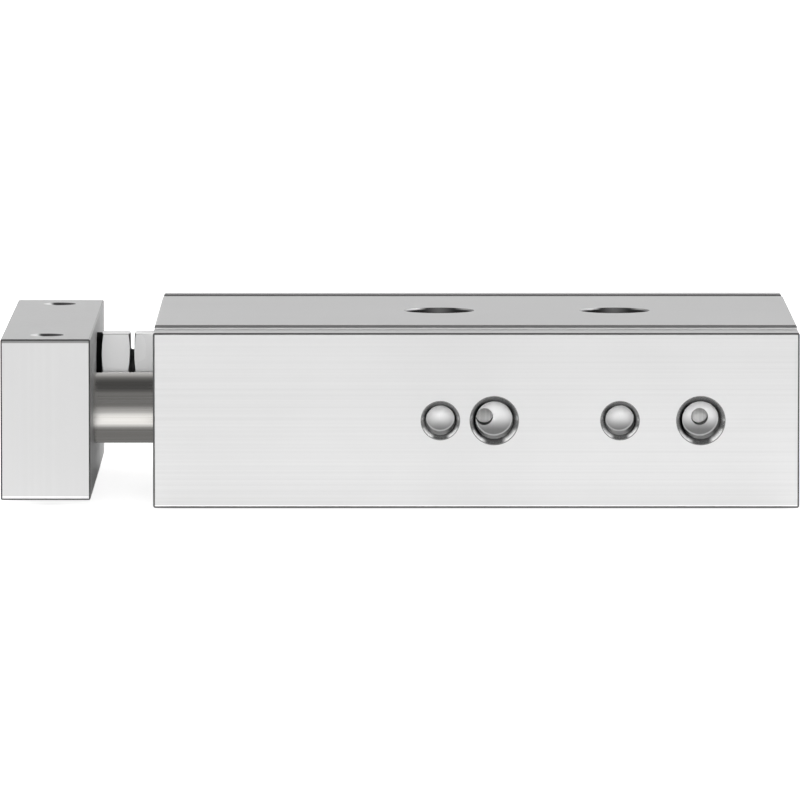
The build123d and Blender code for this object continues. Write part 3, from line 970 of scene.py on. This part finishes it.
side_pitch = 20.0 * MM
side_start = 0.45 * MM
side_length = 4.4 * MM
for side, face_y, inward in (("near", body_low.y, 1), ("far", body_high.y, -1)):
    for end, x in (("front", -side_pitch / 2), ("rear", side_pitch / 2)):
        spot_on_axis = (x, face_y + inward * side_start, mid_z)
        tapped_hole(f"side_thread_{side}_{end}", spot_on_axis, side, M4_CORE, M4_PITCH,
                    side_length, "barrel_aluminium", "barrel")

port_start = 0.6 * MM
port_length = 3.6 * MM
for port, x in port_places.items():
    spot_on_axis = (x, body_low.y + port_start, mid_z)
    tapped_hole(f"port_thread_{port}", spot_on_axis, "near", M5_CORE, M5_PITCH,
                port_length, "barrel_aluminium", "barrel")

load_start = 0.2 * MM
load_length = 5.4 * MM
for side, y in (("near", -load_y), ("far", load_y)):
    for face, place, way in (
        ("top", (yoke_mid_x, y, yoke_high.z - load_start), "down"),
        ("bottom", (yoke_mid_x, y, yoke_low.z + load_start), "up"),
        ("front", (yoke_low.x + load_start, y, mid_z), "back"),
    ):
        tapped_hole(f"yoke_thread_{face}_{side}", place, way, M4_CORE, M4_PITCH,
                    load_length, "yoke_aluminium", "carriage")

# %% [markdown]
# ## The stop screw
#
# The stop screw is a hexagon screw turned back to front: its head faces the barrel and holds a
# plastic pad, and its threaded shank runs through the nut and the yoke. The solid part is smooth,
# so this piece takes its place. A real head is a hexagon bar with its ends turned to a cone, which
# gives the curved corners. A Boolean modifier could overlap the two shapes, but it can fail where
# faces touch. So the skin is wrapped ring by ring round the axis: each ring knows its radius in
# every direction, round or hexagonal, and the cone sets how far along X it lies.

# %% Skins wrapped round the X axis
COLUMNS = 48


def hexagon_radius(flats, angle):
    """How far a hexagon's side is from its axis in one direction, with a flat on top."""
    off_middle = angle % math.radians(60) - math.radians(30)
    return flats / 2 / math.cos(off_middle)


def wrapped(rings):
    """A closed mesh round X. Each ring is a function that gives x and radius for a direction."""
    mesh = bmesh.new()
    angles = [2 * math.pi * column / COLUMNS for column in range(COLUMNS)]
    loops = []
    for ring in rings:
        loop = []
        for angle in angles:
            x, radius = ring(angle)
            loop.append(mesh.verts.new((x, radius * math.cos(angle), radius * math.sin(angle))))
        loops.append(loop)
    for here, there in zip(loops, loops[1:]):
        for column in range(COLUMNS):
            after = (column + 1) % COLUMNS
            mesh.faces.new((here[column], here[after], there[after], there[column]))
    mesh.faces.new(loops[0])
    mesh.faces.new(loops[-1])
    bmesh.ops.recalc_face_normals(mesh, faces=mesh.faces)
    return mesh


def round_ring(x, radius):
    """A ring with the same radius in every direction."""
    return lambda angle: (x, radius)


def hexagon_ring(x, flats):
    """A ring with six flat sides."""
    return lambda angle: (x, hexagon_radius(flats, angle))


def gather(whole, mesh, slot_number):
    """Adds one mesh to another, with all its faces in one slot."""
    for face in mesh.faces:
        face.material_index = slot_number
    carrier = bpy.data.meshes.new("carrier")
    mesh.to_mesh(carrier)
    mesh.free()
    whole.from_mesh(carrier)
    bpy.data.meshes.remove(carrier)


print("skins ready, angle between columns:", 360 / COLUMNS)

# %% Head of the stop screw
head_flats = 8.0 * MM
head_chamfer = 0.1 * MM
chamfer_slope = math.tan(math.radians(15))
bare_thread = 0.5 * MM
head_low_x = nut_high.x + bare_thread
head_high_x = stop_high.x
face_r = (head_flats - head_chamfer) / 2
pad_room = 0.02 * MM
pad_r = (pad_high.y - pad_low.y) / 2 + pad_room


def head_ring(face_x, inward):
    """The hexagon's outline where the cone cuts it, on the given side of the head."""
    def ring(angle):
        """The place along X and the radius in one direction."""
        radius = hexagon_radius(head_flats, angle)
        return face_x + inward * (radius - face_r) * chamfer_slope, radius
    return ring


head = wrapped([
    round_ring(head_low_x, face_r),
    head_ring(head_low_x, 1),
    head_ring(head_high_x, -1),
    round_ring(head_high_x, face_r),
    round_ring(head_high_x, pad_r),
    round_ring(pad_low.x, pad_r),
])
print("head has", len(head.faces), "faces")

# %% Shank of the stop screw
shank_r = 2.5 * MM
thread_root = shank_r - 0.42 * MM
thread_crest = shank_r - 0.01 * MM
shank_end = stop_low.x
tip_chamfer = 0.08 * MM
root_in_head = 0.2 * MM
key_flats = 2.5 * MM
key_depth = 2.5 * MM
shank = wrapped([
    round_ring(head_low_x + root_in_head, thread_root),
    round_ring(shank_end + tip_chamfer, thread_root),
    round_ring(shank_end, thread_root - tip_chamfer),
    hexagon_ring(shank_end, key_flats),
    hexagon_ring(shank_end + key_depth, key_flats),
])
winding = thread_ridge(thread_root - buried, thread_crest, M5_PITCH, head_low_x - shank_end)
winding.transform(Matrix.Translation((shank_end, 0, 0)) @ Matrix.Rotation(math.pi / 2, 4, "Y"))

whole = bmesh.new()
gather(whole, head, 0)
gather(whole, shank, 1)
gather(whole, winding, 1)
screw = add_piece("stop_screw_threaded", whole, "nut_steel", "stop_screw", place=(0, 0, stop_z))
screw.data.materials.append(shaded_thread_steel())
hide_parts("stop_screw")
print("stop screw has", len(screw.data.polygons), "faces")

# %% [markdown]
# ## Smooth curves, sharp corners
#
# The new pieces are made of small flat faces. Their curved walls should look round and their
# corners should stay crisp, so faces are shaded smooth and edges above an angle are marked sharp.

# %% Shade the new pieces
crisp_angle = math.radians(32)
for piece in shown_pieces():
    if "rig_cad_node" not in piece:
        piece.data.shade_smooth()
        piece.data.set_sharp_from_angle(angle=crisp_angle)

# %% [markdown]
# ## The floor
#
# The photograph's background is pure white, and the floor has to look white without lighting the
# cylinder too much. So the floor is a plain pale surface that takes soft light and the cylinder's
# shadow, plus a glow that only camera rays see. Mirror rays see a pool of light in front of the
# cylinder and its dark shadow underneath, which gives the rods their bright and dark bands. Light
# Path tells the kinds of rays apart.

# %% Floor
floor_half = 3.0
floor_gap = 0.01 * MM
floor_mesh = bmesh.new()
bmesh.ops.create_grid(floor_mesh, x_segments=1, y_segments=1, size=floor_half)
floor_data = bpy.data.meshes.new("floor")
floor_mesh.to_mesh(floor_data)
floor_mesh.free()
floor = bpy.data.objects.new("floor", floor_data)
floor.location.z = body_low.z - floor_gap
bpy.context.scene.collection.objects.link(floor)
print("floor is", 2 * floor_half, "m wide")

# %% What the camera and the mirrors see of the floor
def by_mirror(tree, rays):
    """1 for rays that a mirror or a clear surface sends on."""
    return either(tree, rays.outputs["Is Glossy Ray"], rays.outputs["Is Transmission Ray"])


def join_shaders(tree, kind, *values):
    """Adds or mixes shaders, by a node whose inputs are filled in order."""
    node = add_node(tree, kind)
    for socket, value in zip(node.inputs, values):
        put(tree, socket, value)
    return node.outputs[0]


camera_glow = 0.8
side_light = 0.2
shadow_light = 0.18


def white_paper(tree, spot, rays):
    """Pale paper that takes soft light, with a glow that only the camera sees."""
    tone = blend_colours(tree, grain(tree, spot, EVEN, 300.0), grey(0.80), grey(0.82))
    diffuse = feed(tree, add_node(tree, "ShaderNodeBsdfDiffuse"), Color=tone)
    level = both(tree, rays.outputs["Is Camera Ray"], camera_glow)
    glow = feed(tree, add_node(tree, "ShaderNodeEmission"), Strength=level)
    return join_shaders(tree, "ShaderNodeAddShader", diffuse.outputs[0], glow.outputs[0])


def light_pool(tree, spot):
    """Light in front of the cylinder, dying away to both sides, with a shadow underneath."""
    x, y = place_part(tree, spot, 0), place_part(tree, spot, 1)
    toward_camera = remap(tree, y, -78 * MM, -24 * MM, 0.42, 1.0)
    near_middle = calculate(tree, "ADD", side_light, within(tree, x, 0.0, 110 * MM, 50 * MM))
    under_rods = within(tree, y, 0.0, 26 * MM, 9 * MM)
    shadow_half = (body_high.x - body_low.x) / 2 + 2.5 * MM
    along = within(tree, x, body_mid_x, shadow_half, 6 * MM)
    under_body = both(tree, along, within(tree, y, 0.0, 46 * MM, 14 * MM))
    shadow = either(tree, under_rods, under_body)
    pool = both(tree, toward_camera, near_middle)
    level = both(tree, pool, remap(tree, shadow, 0.0, 1.0, 1.0, shadow_light))
    return feed(tree, add_node(tree, "ShaderNodeEmission"), Strength=level).outputs[0]


print("floor parts ready")

# %% Floor finish
def white_floor():
    """Paper for the camera and for soft light, a pool of light for mirror rays."""
    finish, tree, shader, spot = new_finish("floor_white_paper")
    tree.nodes.remove(shader)
    rays = add_node(tree, "ShaderNodeLightPath")
    seen = join_shaders(
        tree, "ShaderNodeMixShader",
        by_mirror(tree, rays), white_paper(tree, spot, rays), light_pool(tree, spot),
    )
    feed(tree, tree.nodes["Material Output"], Surface=seen)
    return finish


floor.data.materials.append(white_floor())
print("floor wears", floor.data.materials[0].name)

# %% [markdown]
# ## The light
#
# A studio for small metal parts is a white tent with a dark opening above: pale light from all
# round, a soft lamp beside the lens, and something dark overhead that polished rods mirror as a
# dark band. The lamp could stand to one side, but only light that comes along the camera's own
# line of sight reaches the floors of the deep holes. The tent is the world: a level for soft
# light, white for the camera, and for mirror rays a tone that falls from the horizon upward, with
# a bright panel high on the left and on the right, which lights up two spots of every countersink.

# %% Tent
tent = bpy.data.worlds.new("white_tent")
bpy.context.scene.world = tent
tent.use_nodes = True
sky = tent.node_tree
direction = add_node(sky, "ShaderNodeTexCoord")
toward = add_node(sky, "ShaderNodeSeparateXYZ")
feed(sky, toward, Vector=direction.outputs["Generated"])
sideways = calculate(sky, "ABSOLUTE", toward.outputs[0])
backward = toward.outputs[1]
upward = toward.outputs[2]
print("tent ready")

# %% What mirrors see of the tent
low_front = remap(sky, upward, 0.0, 0.25, 0.40, 0.20)
front_tone = both(sky, low_front, remap(sky, upward, 0.78, 0.95, 1.0, 0.4))
dark_above = remap(sky, upward, 0.55, 1.02, 0.54, 0.10)
horizon_glow = remap(sky, upward, 0.10, 0.28, 0.7, 0.0)
back_tone = calculate(sky, "ADD", dark_above, horizon_glow)
back_share = remap(sky, backward, 0.0, 0.35)
front_share = calculate(sky, "SUBTRACT", 1.0, back_share)
room_tone = weighted(sky, front_tone, front_share, back_tone, back_share)
dim_sides = remap(sky, sideways, 0.5, 0.9, 1.0, 0.45)
slant = weighted(sky, sideways, 0.76, upward, 0.65)
panels = remap(sky, slant, 0.88, 0.97, 0.0, 0.9)
mirror_tone = calculate(sky, "ADD", both(sky, room_tone, dim_sides), panels)
print("mirror tones ready")

# %% Level of the tent for each kind of ray
soft_level = 0.48
overhead_level = 0.85 * soft_level
soft_tone = remap(sky, upward, 0.3, 0.95, soft_level, overhead_level)
rays = add_node(sky, "ShaderNodeLightPath")
mirrored = by_mirror(sky, rays)
seen = rays.outputs["Is Camera Ray"]
plain = calculate(sky, "SUBTRACT", 1.0, either(sky, mirrored, seen))
level = weighted(sky, plain, soft_tone, mirrored, mirror_tone)
level = calculate(sky, "ADD", level, seen)
feed(sky, sky.nodes["Background"], Color=(1.0, 1.0, 1.0, 1.0), Strength=level)
print("tent level", soft_level)

# %% Lamps
lamp_aim = Vector((0.0, 0.0, 0.01))
lamps = {
    "lens_softbox": ((0.0, -1.25, 0.15), (0.45, 0.35), 14.0),
    "back_softbox": ((-0.5, 1.6, 0.7), (1.6, 0.8), 13.0),
    "left_softbox": ((-1.5, 0.1, 0.35), (0.9, 0.6), 7.0),
    "right_softbox": ((1.5, 0.3, 0.35), (0.9, 0.6), 3.0),
}


def soft_lamp(name, place, size, watts):
    """A large soft lamp that only lights: neither the camera nor a mirror sees its outline."""
    lamp = bpy.data.lights.new(name, "AREA")
    lamp.shape = "RECTANGLE"
    lamp.size, lamp.size_y = size
    lamp.energy = watts
    holder = bpy.data.objects.new(name, lamp)
    holder.location = place
    holder.rotation_euler = (lamp_aim - Vector(place)).to_track_quat("-Z", "Y").to_euler()
    holder.visible_camera = False
    holder.visible_glossy = False
    bpy.context.scene.collection.objects.link(holder)


for name, settings in lamps.items():
    soft_lamp(name, *settings)
print("lamps:", len(lamps))

# %% [markdown]
# ## The colour view
#
# The view transform is Standard, so that a colour renders about as it is written.

# %% Standard view transform
bpy.context.scene.view_settings.view_transform = "Standard"
